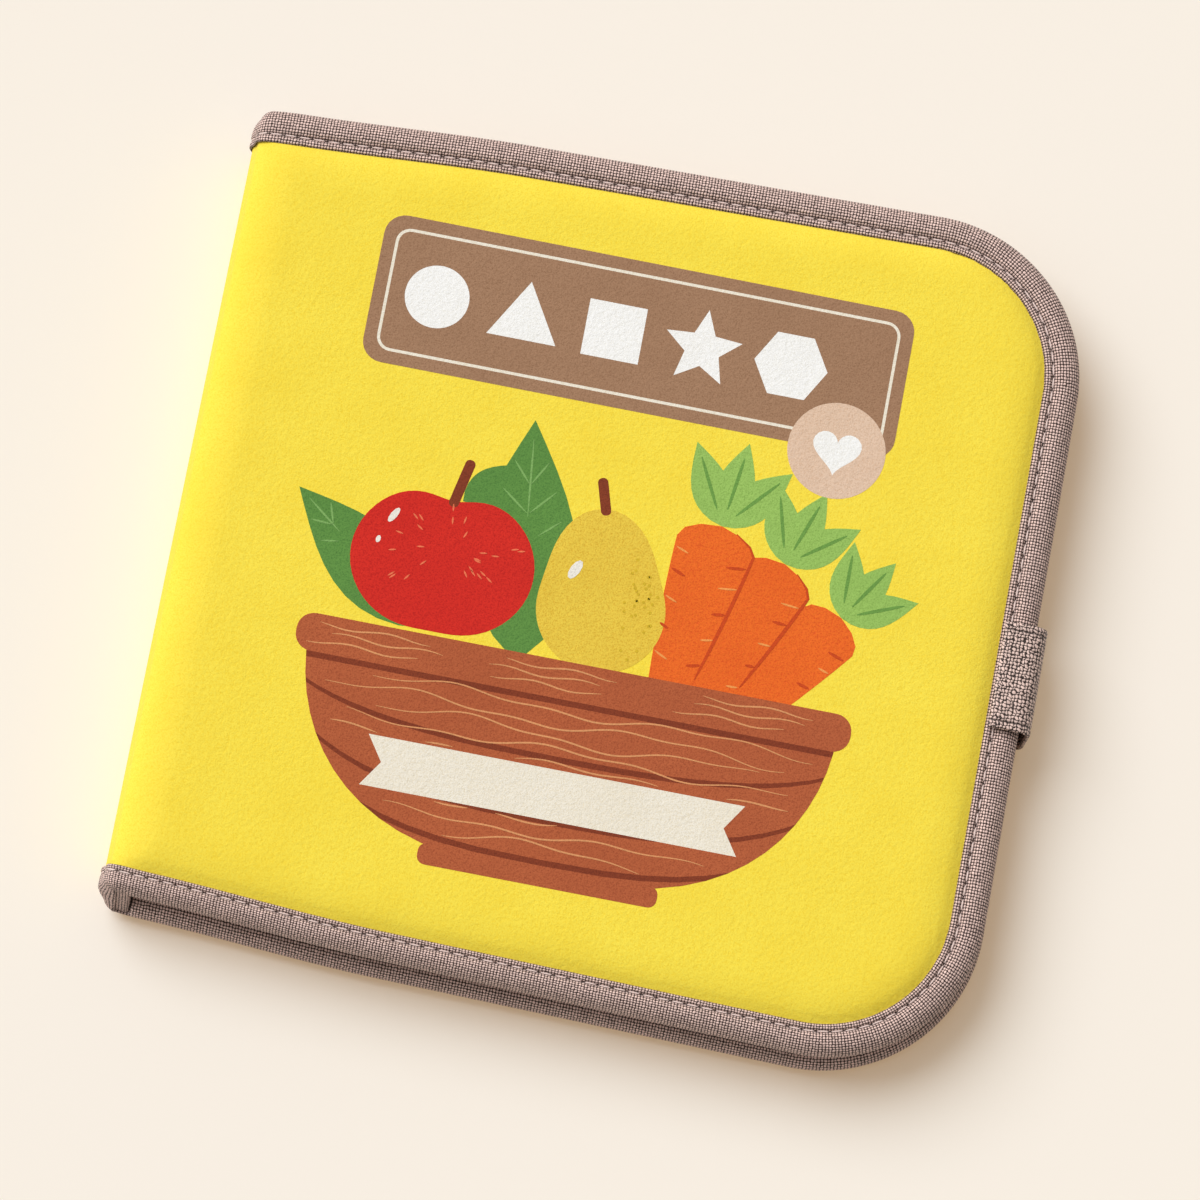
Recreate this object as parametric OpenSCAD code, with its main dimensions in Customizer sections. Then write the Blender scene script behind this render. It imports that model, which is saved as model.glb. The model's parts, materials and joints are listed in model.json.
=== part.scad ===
// Padded felt quiet book, closed, lying on its back cover.
// X runs from the spine to the fore edge, Y from the tail to the head, Z up.
// The origin is the middle of the flat that the book rests on.

/* [Cover] */
// Width of the closed book, from spine to fore edge
book_w = 200; // [170:1:240]
// Height of the book at the fore edge, from tail to head
book_h = 203; // [170:1:240]
// Distance that the head and the tail each draw in, from the corners to the spine
spine_taper = 3.5; // [0:0.5:8]
// Radius of the two rounded corners at the fore edge
corner_r = 38; // [25:1:55]
// Thickness of the outer felt
felt_t = 1.5; // [1:0.1:2.5]
// Thickness of the foam sheet at the seam
padding_t = 2; // [1.5:0.1:4]
// Thickness of the felt that lines the inside
lining_t = 1.5; // [1:0.1:2.5]
// Height that the padded middle stands above the seam
crown_h = 2.2; // [2:0.1:4]
// Width of the slope between the tape and the padded middle
crown_w = 10; // [6:0.5:18]
// Width of the slope beside the spine fold
fold_slope_w = 6; // [4:0.5:12]

/* [Spine] */
// Height that the middle of the spine bulges outwards
spine_bulge = 1.2; // [0.5:0.1:2]
// Clearance between each cover and the rounded end of the spine
fold_gap = 0.3; // [0.2:0.05:0.6]

/* [Binding tape] */
// Width of the tape on each face of the cover
tape_w = 8.5; // [6:0.5:14]
// Thickness of the tape
tape_t = 0.8; // [0.5:0.1:1]
// Rounding of the folded outer edge of the tape
tape_edge_r = 2; // [1.5:0.1:2.3]

/* [Pages] */
// Number of felt leaves
leaf_count = 3; // [2:1:6]
// Thickness of one leaf
leaf_t = 1.6; // [1:0.1:3]
// Gap over each leaf
leaf_gap = 0.3; // [0.25:0.05:0.6]
// Width of the strip where the leaves are sewn together at the spine
sewn_strip_w = 6; // [4:0.5:12]
// Distance between the leaves and the tape or the spine
page_margin = 1; // [0.5:0.1:5]

/* [Closing tab] */
// Length of the tab along the fore edge
tab_l = 21.7; // [15:0.1:40]
// Thickness of the folded webbing
tab_t = 1; // [0.6:0.1:1]
// Middle of the tab, measured from the middle of the fore edge
tab_y = -3; // [-30:1:30]
// Air between the edge of the tape and the tab
tab_air = 1.3; // [0.8:0.1:3]
// Outer radius of the tab's two bends
tab_bend_r = 4; // [2:0.5:5]
// Thickness of each half of the hook-and-loop fastener
patch_t = 0.6; // [0.4:0.1:1]
// Border between the fastener and the edges of the tab
patch_border = 1.5; // [1:0.1:3]

/* [Print] */
// Thickness of the printed fields
print_t = 0.2; // [0.1:0.05:0.3]
// Width of the label panel
label_w = 126; // [100:1:140]
// Height of the label panel
label_h = 36; // [28:1:44]
// Radius of the round badge
badge_r = 11.5; // [8:0.5:14]
// Half width of the bowl
bowl_r = 62; // [50:1:70]
// Depth of the bowl
bowl_d = 46; // [36:1:50]
// Radius of the apple
apple_r = 21; // [16:0.5:24]
// Radius of the pear's belly
pear_r = 15; // [10:0.5:18]
// Length of the longest carrot
carrot_l = 66; // [50:1:70]
// Width of a carrot at its shoulder
carrot_w = 19; // [12:0.5:24]

/* [Hidden] */

// Heights, built up from the surface that the book rests on
cover_t = felt_t + padding_t + lining_t;
bead_r = cover_t / 2;
page_space = leaf_count * (leaf_t + leaf_gap);
back_mid_z = crown_h + bead_r;
back_in_z = crown_h + cover_t;
front_mid_z = back_in_z + page_space + bead_r;
plateau_z = front_mid_z + bead_r + crown_h;
spine_h = front_mid_z - back_mid_z;

// Places across the book
fore_x = book_w / 2;
head_y = book_h / 2;
fold_x = -fore_x + tape_t + bead_r;
straight_l = fore_x - corner_r - fold_x;
taper_a = atan(spine_taper / straight_l);
spine_y = edge_y(fold_x, 0);
crown_x0 = fold_x + bead_r;
plateau_x0 = crown_x0 + fold_slope_w;
plateau_x1 = fore_x - tape_w - crown_w;
plateau_y = edge_y(plateau_x0, tape_w + crown_w);

// The bulge is an arc over the flat height of the spine
bulge_arc_r = (pow(spine_h / 2, 2) + pow(spine_bulge, 2)) / (2 * spine_bulge);

// Leaves, kept inside the inner edge of the tape
page_x0 = fold_x + bead_r + page_margin;
page_inset = tape_w + page_margin;
leaf_pitch = leaf_t + leaf_gap;

// Closing tab, wrapped over both tapes
front_tape_z = front_mid_z + bead_r + tape_t;
back_tape_z = back_mid_z - bead_r - tape_t;
tab_top_z = front_tape_z + 2 * patch_t + tab_t;
tab_low_z = back_tape_z - tab_t;
tab_x0 = fore_x - tape_w;
tab_x1 = fore_x + tab_air + tab_t;
patch_w = tape_w - tape_edge_r - patch_border;

// The artwork is drawn on a square of this side and fitted to the flat of the cover
art_side = 160;
art_k = min(plateau_x1 - plateau_x0, 2 * plateau_y) / art_side;
label_y = 58;
label_round = 5;
badge_at = [50, label_y - label_h / 2];
figures_x = -6;
line_inset = 3;
line_w = 0.7;
bowl_y = -26;
rim_h = 9;
rim_over = 3;
foot_h = 5;
band_w = 1.4;
ribbon_y = bowl_y - 27;
ribbon_w = 88;
ribbon_h = 12;
ribbon_fork = 4;
apple_at = [-35, -4];
pear_at = [3, -8];
carrots = [[27, 17, -8, 1], [43, 11, -20, 0.94], [58, 1, -34, 0.88]];
stalk_w = 2.4;
stalk_l = 12;

corner_steps = 16;
crown_steps = 5;
slice_t = 0.02;
over = 0.5;
lap = 0.3;
sunk = 0.003;
round_fn = 96;

felt_yellow = [0.98, 0.87, 0.27];
tape_taupe = [0.67, 0.57, 0.54];
tab_taupe = [0.6, 0.5, 0.47];
foam_white = [0.93, 0.92, 0.88];
lining_cream = [0.96, 0.93, 0.86];
fastener_grey = [0.45, 0.4, 0.38];
label_brown = [0.62, 0.49, 0.4];
ribbon_cream = [0.95, 0.92, 0.85];
badge_beige = [0.88, 0.75, 0.66];
bowl_brown = [0.68, 0.33, 0.2];
line_brown = [0.47, 0.23, 0.15];
apple_red = [0.83, 0.17, 0.14];
pear_yellow = [0.9, 0.8, 0.25];
carrot_orange = [0.94, 0.42, 0.13];
leaf_dark = [0.35, 0.58, 0.28];
leaf_light = [0.56, 0.76, 0.38];

function arc(cx, cy, r, a0, a1, steps) = [
    for (i = [0:steps]) let (a = a0 + (a1 - a0) * i / steps) [cx + r * cos(a), cy + r * sin(a)]
];

function inner_r(inset) = max(1, corner_r - inset);

// Half the height of the cover at x, drawn in by inset from its edge
function edge_y(x, inset) = let (r = inner_r(inset), run = fore_x - inset - r - x)
    head_y - inset - r + (r - run * sin(taper_a)) / cos(taper_a);

// Cover outline: straight along the spine, with two round corners at the fore edge
function outline(x0, inset) = let (
    r = inner_r(inset),
    cx = fore_x - inset - r,
    cy = head_y - inset - r,
    y0 = edge_y(x0, inset)
) concat(
    [[x0, -y0]],
    arc(cx, -cy, r, -90 - taper_a, 0, corner_steps),
    arc(cx, cy, r, 0, 90 + taper_a, corner_steps),
    [[x0, y0]]
);

// Outline of the padded middle, k going from its foot (0) to its flat (1)
function crown_outline(k) = outline(crown_x0 + fold_slope_w * k, tape_w + crown_w * k);

module along_y(length) {
    rotate([90, 0, 0]) linear_extrude(length, center = true) children();
}

// The covers are drawn with their middle plane at z = 0 and their outside up
module cover_plate(z, t) {
    translate([0, 0, z]) linear_extrude(t)
        polygon(outline(fold_x, tape_t));
}

// Padded middle, rising from the seam in an elliptic curve to a flat top
module crown(z) {
    hull() {
        translate([0, 0, z - over]) linear_extrude(over) polygon(crown_outline(0));
        for (i = [1:crown_steps]) {
            a = 90 * i / crown_steps;
            translate([0, 0, z + crown_h * sin(a) - slice_t]) linear_extrude(slice_t)
                polygon(crown_outline(1 - cos(a)));
        }
    }
}

// Room for the rounded end of the spine: hollow outside, straight on the inside
module knuckle_room(r, length) {
    translate([fold_x, 0, 0]) along_y(length)
        polygon(concat([[-over, r]], arc(0, 0, r, 90, 0, 12), [[r, -cover_t], [-over, -cover_t]]));
}

module fold_room() {
    end_l = tape_w + fold_gap + over;
    knuckle_room(bead_r + fold_gap, book_h + 2 * over);
    for (s = [-1, 1])
        translate([0, s * (spine_y + over - end_l / 2), 0])
            knuckle_room(bead_r + tape_t + fold_gap, end_l);
}

module cover_felt() {
    difference() {
        union() {
            cover_plate(bead_r - felt_t, felt_t);
            crown(bead_r);
        }
        crown(bead_r - felt_t);
        fold_room();
    }
}

module cover_padding() {
    difference() {
        union() {
            cover_plate(lining_t - bead_r, padding_t);
            crown(bead_r - felt_t);
        }
        fold_room();
    }
}

module cover_lining() {
    difference() {
        cover_plate(-bead_r, lining_t);
        fold_room();
    }
}

// Section of the folded tape, from its outer edge inwards: round outside, open inside
module tape_section() {
    h = bead_r + tape_t;
    r = min(tape_edge_r, h);
    polygon(concat(
        [[-tape_w, h]],
        arc(-r, h - r, r, 90, 0, 4),
        arc(-r, r - h, r, 0, -90, 4),
        [[-tape_w, -h], [-tape_w, -bead_r], [-tape_t, -bead_r], [-tape_t, bead_r], [-tape_w, bead_r]]
    ));
}

// The tape runs along the head, round both corners, down the fore edge and back along the tail
module cover_tape() {
    run_x = (straight_l - corner_r * sin(taper_a)) / cos(taper_a);
    run_y = book_h - 2 * corner_r;
    difference() {
        union() {
            translate([fore_x, 0, 0]) along_y(run_y) tape_section();
            for (s = [0, 1]) mirror([0, s, 0]) translate([fore_x - corner_r, head_y - corner_r, 0]) {
                rotate_extrude(angle = 90 + taper_a, $fn = round_fn)
                    translate([corner_r, 0]) tape_section();
                rotate([0, 0, taper_a]) translate([-run_x, corner_r - sunk, 0]) rotate([90, 0, 90])
                    linear_extrude(run_x + lap) tape_section();
            }
        }
        fold_room();
    }
}

module place_front() {
    translate([0, 0, front_mid_z]) children();
}

module place_back() {
    translate([0, 0, back_mid_z]) mirror([0, 0, 1]) children();
}

// Section of the spine: a round bead on each fold, and a bulge between them
module spine_section(grow) {
    for (z = [back_mid_z, front_mid_z])
        translate([fold_x, z]) circle(bead_r + grow, $fn = round_fn);
    translate([fold_x - bead_r - grow, back_mid_z]) square([2 * (bead_r + grow), spine_h]);
    intersection() {
        translate([fold_x - bead_r - spine_bulge + bulge_arc_r, back_mid_z + spine_h / 2])
            circle(bulge_arc_r + grow, $fn = 2 * round_fn);
        translate([fold_x - 2 * cover_t, back_mid_z]) square([2 * cover_t, spine_h]);
    }
}

module spine_lining_section() {
    translate([fold_x + bead_r - lining_t, back_mid_z]) square([lining_t, spine_h]);
}

// The tape wraps each end of the spine
module spine_tape() {
    difference() {
        translate([0, spine_y - tape_w / 2, 0]) along_y(tape_w) spine_section(tape_t);
        translate([0, spine_y - tape_t - tape_w / 2, 0]) along_y(tape_w) spine_section(0);
    }
}

module page_plate(z, x0, t) {
    translate([0, 0, z]) linear_extrude(t)
        polygon(outline(x0, page_inset));
}

module tab_patch(z) {
    translate([fore_x - tape_edge_r - patch_w, tab_y - tab_l / 2 + patch_border, z])
        cube([patch_w, tab_l - 2 * patch_border, patch_t]);
}

module field(c) {
    color(c) translate([(plateau_x0 + plateau_x1) / 2, 0, plateau_z])
        linear_extrude(print_t) scale(art_k) children();
}

module round_bar(w, h, r) {
    polygon(concat(
        arc(w / 2 - r, h / 2 - r, r, 0, 90, 6), arc(r - w / 2, h / 2 - r, r, 90, 180, 6),
        arc(r - w / 2, r - h / 2, r, 180, 270, 6), arc(w / 2 - r, r - h / 2, r, 270, 360, 6)
    ));
}

module leaf(length, width) {
    polygon([
        for (s = [1, -1]) for (i = [0:10])
            let (t = s > 0 ? i / 10 : 1 - i / 10)
                [s * width / 2 * sin(180 * pow(t, 0.8)), length * t]
    ]);
}

module heart(size) {
    polygon([
        for (a = [0:10:350])
            size * [pow(sin(a), 3), (13 * cos(a) - 5 * cos(2 * a) - 2 * cos(3 * a) - cos(4 * a)) / 16]
    ]);
}

module star(r) {
    polygon([for (i = [0:9]) r * (i % 2 == 0 ? 1 : 0.45) * [sin(36 * i), cos(36 * i)]]);
}

module label_shape() {
    translate([0, label_y]) round_bar(label_w, label_h, label_round);
}

module badge_shape() {
    translate(badge_at) circle(badge_r, $fn = 64);
}

module badge_figure() {
    translate(badge_at) heart(badge_r * 0.5);
}

module label_figures() {
    r = label_h * 0.21;
    pitch = label_w / 6;
    translate([figures_x, label_y]) {
        translate([-2 * pitch, 0]) circle(r, $fn = 48);
        translate([-pitch, -r * 0.2]) polygon(arc(0, 0, r * 1.25, -30, 210, 2));
        square(1.8 * r, center = true);
        translate([pitch, 0]) star(r * 1.25);
        translate([2 * pitch, 0]) polygon(arc(0, 0, r * 1.15, 0, 300, 5));
    }
}

module label_line() {
    translate([0, label_y]) difference() {
        inset = 2 * line_inset;
        round_bar(label_w - inset, label_h - inset, label_round - line_inset / 2);
        round_bar(label_w - inset - 2 * line_w, label_h - inset - 2 * line_w,
            label_round - line_inset / 2 - line_w);
    }
}

module ribbon_shape() {
    x = ribbon_w / 2;
    y = ribbon_h / 2;
    translate([0, ribbon_y])
        polygon([[-x, -y], [x, -y], [x - ribbon_fork, 0], [x, y], [-x, y], [ribbon_fork - x, 0]]);
}

module bowl_side(r, depth) {
    polygon([
        for (a = [180:6:360]) [r * sign(cos(a)) * pow(abs(cos(a)), 0.7), depth * sin(a)]
    ]);
}

module bowl_shape() {
    translate([0, bowl_y]) {
        bowl_side(bowl_r, bowl_d);
        round_bar(2 * (bowl_r + rim_over), rim_h, rim_h * 0.45);
        translate([0, -bowl_d]) round_bar(bowl_r * 0.9, foot_h, foot_h * 0.4);
    }
}

module bowl_line_shapes() {
    translate([0, bowl_y]) intersection() {
        bowl_side(bowl_r, bowl_d);
        union() {
            translate([0, -(rim_h + band_w) / 2]) square([2 * bowl_r, band_w], center = true);
            for (k = [0.42, 0.74, 0.95]) difference() {
                bowl_side(bowl_r * 1.15, bowl_d * k);
                bowl_side(bowl_r * 1.15, bowl_d * k - band_w);
            }
        }
    }
}

module pear_shape() {
    translate(pear_at) rotate(8) polygon([
        for (a = [0:6:354]) pear_r * (1 + 0.6 * pow(max(0, sin(a)), 4)) * [cos(a), sin(a)]
    ]);
}

module apple_shape() {
    translate(apple_at) polygon([
        for (a = [0:6:354])
            apple_r * (0.93 + 0.09 * cos(2 * a) - 0.14 * pow(max(0, sin(a)), 10)
                - 0.05 * pow(max(0, -sin(a)), 10)) * [cos(a), sin(a)]
    ]);
}

module carrot() {
    polygon([
        for (s = [1, -1]) for (i = [0:16])
            let (t = pow(s > 0 ? i / 16 : 1 - i / 16, 1.5))
                [s * carrot_w / 2 * min(1, sqrt(t / 0.06)) * (1 - pow(t, 1.4)), -carrot_l * t]
    ]);
}

module at_carrots() {
    for (c = carrots) translate([c[0], c[1]]) rotate(c[2]) scale(c[3]) children();
}

module light_leaf_shapes() {
    at_carrots() for (a = [-34, 0, 34]) rotate(a) leaf(carrot_w * 1.1, carrot_w * 0.48);
}

module dark_leaf_shapes() {
    translate([-14, -24]) rotate(6) leaf(apple_r * 2.75, apple_r * 1.15);
    translate([-36, -20]) rotate(52) leaf(apple_r * 2.1, apple_r * 0.86);
    translate([apple_at[0] + 2, apple_at[1] + apple_r * 0.72]) rotate(-48)
        leaf(apple_r * 0.8, apple_r * 0.38);
}

module stalk_shapes() {
    translate([apple_at[0], apple_at[1] + apple_r * 0.68]) rotate(-12)
        translate([0, stalk_l * 0.42]) round_bar(stalk_w, stalk_l, stalk_w * 0.45);
    translate([pear_at[0] - pear_r * 0.21, pear_at[1] + pear_r * 1.58]) rotate(16)
        translate([0, stalk_l * 0.25]) round_bar(stalk_w, stalk_l * 0.75, stalk_w * 0.45);
}

module back_felt() color(felt_yellow) place_back() cover_felt();
module back_padding() color(foam_white) place_back() cover_padding();
module back_lining() color(lining_cream) place_back() cover_lining();
module back_tape() color(tape_taupe) place_back() cover_tape();

module front_felt() color(felt_yellow) place_front() cover_felt();
module front_padding() color(foam_white) place_front() cover_padding();
module front_lining() color(lining_cream) place_front() cover_lining();
module front_tape() color(tape_taupe) place_front() cover_tape();

// Leaves sewn together in one strip beside the spine, and free at their other edges
module page_block() {
    color(lining_cream) difference() {
        page_plate(back_in_z, page_x0, page_space - leaf_gap);
        for (i = [1:1:leaf_count - 1])
            translate([page_x0 + sewn_strip_w, -head_y, back_in_z + i * leaf_pitch - leaf_gap])
                cube([book_w, book_h, leaf_gap]);
    }
}

// Webbing sewn under the back tape, wrapped round the fore edge and fastened on the front tape
module closing_tab() {
    r = min(tab_bend_r, (tab_top_z - tab_low_z) / 2);
    bend_r = max(0.2, r - tab_t);
    inner_x = tab_x1 - tab_t;
    color(tab_taupe) translate([0, tab_y, 0]) along_y(tab_l) polygon(concat(
        [[tab_x0, tab_top_z]],
        arc(tab_x1 - r, tab_top_z - r, r, 90, 0, 8),
        arc(tab_x1 - r, tab_low_z + r, r, 0, -90, 8),
        [[tab_x0, tab_low_z], [tab_x0, tab_low_z + tab_t]],
        arc(inner_x - bend_r, tab_low_z + tab_t + bend_r, bend_r, -90, 0, 8),
        arc(inner_x - bend_r, tab_top_z - tab_t - bend_r, bend_r, 0, 90, 8),
        [[tab_x0, tab_top_z - tab_t]]
    ));
}

module loop_patch() color(fastener_grey) tab_patch(front_tape_z);
module hook_patch() color(fastener_grey) tab_patch(front_tape_z + patch_t);

module spine_felt() {
    color(felt_yellow) along_y(2 * (spine_y - tape_t)) difference() {
        spine_section(0);
        spine_section(-felt_t);
        spine_lining_section();
    }
}

module spine_padding() {
    color(foam_white) along_y(2 * (spine_y - tape_t)) difference() {
        spine_section(-felt_t);
        spine_lining_section();
    }
}

module spine_lining() color(lining_cream) along_y(2 * (spine_y - tape_t)) spine_lining_section();
module spine_tape_head() color(tape_taupe) spine_tape();
module spine_tape_tail() color(tape_taupe) mirror([0, 1, 0]) spine_tape();

// Printed fields, each cut back from the ones that lie over it
module print_white() {
    field("white") {
        difference() {
            label_figures();
            badge_shape();
        }
        badge_figure();
    }
}

module print_badge() {
    field(badge_beige) difference() {
        badge_shape();
        badge_figure();
    }
}

module print_cream() {
    field(ribbon_cream) difference() {
        union() {
            label_line();
            ribbon_shape();
        }
        badge_shape();
    }
}

module print_label() {
    field(label_brown) difference() {
        label_shape();
        label_line();
        label_figures();
        badge_shape();
    }
}

module print_bowl_lines() {
    field(line_brown) difference() {
        bowl_line_shapes();
        ribbon_shape();
    }
}

module print_bowl() {
    field(bowl_brown) difference() {
        bowl_shape();
        bowl_line_shapes();
        ribbon_shape();
    }
}

module print_stalks() {
    field(line_brown) difference() {
        stalk_shapes();
        badge_shape();
        label_shape();
    }
}

module print_pear() {
    field(pear_yellow) difference() {
        pear_shape();
        bowl_shape();
        stalk_shapes();
    }
}

module print_apple() {
    field(apple_red) difference() {
        apple_shape();
        bowl_shape();
        pear_shape();
        stalk_shapes();
    }
}

module print_carrots() {
    field(carrot_orange) difference() {
        at_carrots() carrot();
        bowl_shape();
        pear_shape();
        badge_shape();
    }
}

module print_dark_leaves() {
    field(leaf_dark) difference() {
        dark_leaf_shapes();
        bowl_shape();
        pear_shape();
        apple_shape();
        stalk_shapes();
        at_carrots() carrot();
        label_shape();
    }
}

module print_light_leaves() {
    field(leaf_light) difference() {
        light_leaf_shapes();
        at_carrots() carrot();
        dark_leaf_shapes();
        stalk_shapes();
        pear_shape();
        badge_shape();
        label_shape();
    }
}

back_felt();
back_padding();
back_lining();
back_tape();
page_block();
closing_tab();
hook_patch();
spine_felt();
spine_padding();
spine_lining();
spine_tape_head();
spine_tape_tail();
front_felt();
front_padding();
front_lining();
front_tape();
loop_patch();
print_label();
print_cream();
print_white();
print_badge();
print_bowl();
print_bowl_lines();
print_apple();
print_pear();
print_carrots();
print_dark_leaves();
print_light_leaves();
print_stalks();
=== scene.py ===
# Felt quiet book, closed and lying on its back cover. Everything is in metres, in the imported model's frame.
import bmesh
import bpy
import json
import math
import random
from mathutils import Matrix, Vector


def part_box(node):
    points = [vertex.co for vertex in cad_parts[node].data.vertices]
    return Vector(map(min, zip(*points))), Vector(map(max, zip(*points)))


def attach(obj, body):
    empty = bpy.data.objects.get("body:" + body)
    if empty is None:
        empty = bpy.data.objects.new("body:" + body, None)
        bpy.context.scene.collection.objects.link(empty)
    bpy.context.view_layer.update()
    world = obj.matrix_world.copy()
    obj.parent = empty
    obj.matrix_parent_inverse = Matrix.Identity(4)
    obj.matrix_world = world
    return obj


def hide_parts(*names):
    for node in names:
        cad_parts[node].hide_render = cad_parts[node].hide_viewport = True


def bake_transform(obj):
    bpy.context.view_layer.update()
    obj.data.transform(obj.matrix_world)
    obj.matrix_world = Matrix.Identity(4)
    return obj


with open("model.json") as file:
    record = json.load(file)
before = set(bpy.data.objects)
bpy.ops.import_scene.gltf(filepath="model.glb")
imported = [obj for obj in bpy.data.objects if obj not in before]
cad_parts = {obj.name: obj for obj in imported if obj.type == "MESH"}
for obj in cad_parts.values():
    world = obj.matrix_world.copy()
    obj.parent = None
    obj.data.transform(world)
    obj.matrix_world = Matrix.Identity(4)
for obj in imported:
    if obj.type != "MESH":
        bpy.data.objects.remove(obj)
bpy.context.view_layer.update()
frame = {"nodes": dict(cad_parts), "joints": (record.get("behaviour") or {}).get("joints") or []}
mm = 0.001

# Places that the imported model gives
hinges = {j["name"]: j for j in frame["joints"]}
backFold = Vector(hinges["spine_hinge"]["pos_m"])
frontFold = Vector(hinges["front_cover_hinge"]["pos_m"])
foreX, headY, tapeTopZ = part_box("front_tape")[1]
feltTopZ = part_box("front_felt")[1].z
spineLow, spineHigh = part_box("spine_felt")
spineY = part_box("spine_tape_head")[1].y
foldX = frontFold.x
beadR = spineHigh.z - frontFold.z
tapeT = tapeTopZ - spineHigh.z
tapeR = beadR + tapeT
crownH = feltTopZ - spineHigh.z
spineHalf = (frontFold.z - backFold.z) / 2
spineBulge = foldX - beadR - spineLow.x
foldGap = 0.3 * mm            # clearance between a cover and the spine

book = {
    "cornerR": 38 * mm,       # outer radius of the round corners
    "tapeW": 8.5 * mm,        # tape on each face
    "pinch": 2.0 * mm,        # how far head and tail are squeezed in at the spine, past the taper
    "pinchReach": 62 * mm,    # where that starts, from the fold
    "evenFrom": 0.8,          # share of the half height beyond which all of it counts
    "turnBefore": 1.8 * mm,   # where cloth starts to turn with a cover, before the fold
    "turnPast": 3.2 * mm,     # and where it turns fully, past the fold
}
straightX = foreX - book["cornerR"]


def ease(t):
    t = max(0.0, min(1.0, t))
    return t * t * (3 - 2 * t)


def drawIn(x):
    # how far head and tail have drawn in at x
    taper = (headY - spineY) * max(0.0, min(1.0, (straightX - x) / (straightX - foldX)))
    return taper + book["pinch"] * ease((foldX + book["pinchReach"] - x) / book["pinchReach"])


def pinched(x, y):
    return y - math.copysign(drawIn(x) * ease(abs(y) / (book["evenFrom"] * headY)), y)


def spineOut(d):
    # how far the spine bulges at a height d away from the fold
    return spineBulge * math.sin(math.pi / 2 * min(1, d / spineHalf)) ** 2


# Sides of the book: where the middle plane of each cover is, and which way is out
sides = {
    "front": {"z": frontFold.z, "out": 1, "body": "front_cover"},
    "back": {"z": backFold.z, "out": -1, "body": "back_cover"},
}


def onCover(side, x, y, r):
    # a point at height r over the cover's middle plane
    s = sides[side]
    return Vector((x, pinched(x, y), s["z"] + s["out"] * r))


def addPiece(name, bm, material, smooth=True):
    bmesh.ops.recalc_face_normals(bm, faces=bm.faces)
    mesh = bpy.data.meshes.new(name)
    bm.to_mesh(mesh)
    bm.free()
    for p in mesh.polygons:
        p.use_smooth = smooth
    mesh.materials.append(material)
    piece = bpy.data.objects.new(name, mesh)
    bpy.context.scene.collection.objects.link(piece)
    return piece


def faceOut(piece, way=None):
    # turns an open sheet's normals to one side, or away from the middle of the book
    total = sum(p.area * p.normal.dot(way or Vector((p.center.x, p.center.y, 0))) for p in piece.data.polygons)
    if total < 0:
        piece.data.flip_normals()


def wovenGrid(bm, across, along, place, closed=False):
    # a grid sheet whose corner (i, j) goes to place(i, j), which also gives its cloth coordinates in mm
    # and the painted shade of its creases
    uv = bm.loops.layers.uv.verify()
    paintedCreaseShade = bm.verts.layers.float.new("paintedCreaseShade")
    made = bmesh.ops.create_grid(bm, x_segments=along, y_segments=across, size=0.5)["verts"]
    cloth = {}
    for v in made:
        i = round((v.co.x + 0.5) * along)
        j = round((v.co.y + 0.5) * across)
        v.co, cloth[v], v[paintedCreaseShade] = place(i, j)
    for f in {f for v in made for f in v.link_faces}:
        for loop in f.loops:
            loop[uv].uv = cloth[loop.vert]
    if closed:
        bmesh.ops.remove_doubles(bm, verts=made, dist=0.01 * mm)
    return made


def roundCornered(bm, x0, x1, y1, r, z, steps=24):
    # flat outline, straight at the spine and round at the two fore-edge corners
    spots = [(x0, -y1)]
    spots += [(x1 - r + r * math.sin(math.pi / 2 * k / steps),
               r - y1 - r * math.cos(math.pi / 2 * k / steps)) for k in range(steps + 1)]
    spots += [(x, -y) for x, y in reversed(spots)]
    return bm.faces.new([bm.verts.new((x, y, z)) for x, y in spots])


def cutAcross(bm, axis, places):
    # cuts the flat sheet along lines, so that it can bend
    for p in places:
        co, no = [0, 0, 0], [0, 0, 0]
        co[axis], no[axis] = p, 1
        bmesh.ops.bisect_plane(bm, geom=bm.verts[:] + bm.edges[:] + bm.faces[:],
                               plane_co=co, plane_no=no, dist=1e-7)


def steps(start, end, size):
    n = max(1, round(abs(end - start) / size))
    return [start + (end - start) * k / n for k in range(n + 1)]


# Materials

def newMaterial(name, color, roughness, sheen=0.0):
    mat = bpy.data.materials.new(name)
    mat.use_nodes = True
    shader = mat.node_tree.nodes["Principled BSDF"]
    shader.inputs["Base Color"].default_value = (*color, 1)
    shader.inputs["Roughness"].default_value = roughness
    shader.inputs["Specular IOR Level"].default_value = 0.25
    shader.inputs["Sheen Weight"].default_value = sheen
    shader.inputs["Sheen Roughness"].default_value = 0.6
    return mat, mat.node_tree, shader


def newGroup(name, inputs, outputs):
    tree = bpy.data.node_groups.new(name, "ShaderNodeTree")
    for label, kind, value in inputs:
        socket = tree.interface.new_socket(label, in_out="INPUT", socket_type="NodeSocket" + kind)
        if value is not None:
            socket.default_value = value
    for label, kind in outputs:
        tree.interface.new_socket(label, in_out="OUTPUT", socket_type="NodeSocket" + kind)
    return tree, tree.nodes.new("NodeGroupInput"), tree.nodes.new("NodeGroupOutput")


def feed(tree, socket, value):
    if isinstance(value, bpy.types.NodeSocket):
        tree.links.new(value, socket)
    else:
        socket.default_value = value


def mathNode(tree, operation, a, b=0.0, c=0.0):
    node = tree.nodes.new("ShaderNodeMath")
    node.operation = operation
    for socket, value in zip(node.inputs, (a, b, c)):
        feed(tree, socket, value)
    return node.outputs[0]


def noiseNode(tree, vector, scale, detail=3.0, roughness=0.6):
    node = tree.nodes.new("ShaderNodeTexNoise")
    feed(tree, node.inputs["Vector"], vector)
    feed(tree, node.inputs["Scale"], scale)
    node.inputs["Detail"].default_value = detail
    node.inputs["Roughness"].default_value = roughness
    return node.outputs["Fac"]


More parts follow.
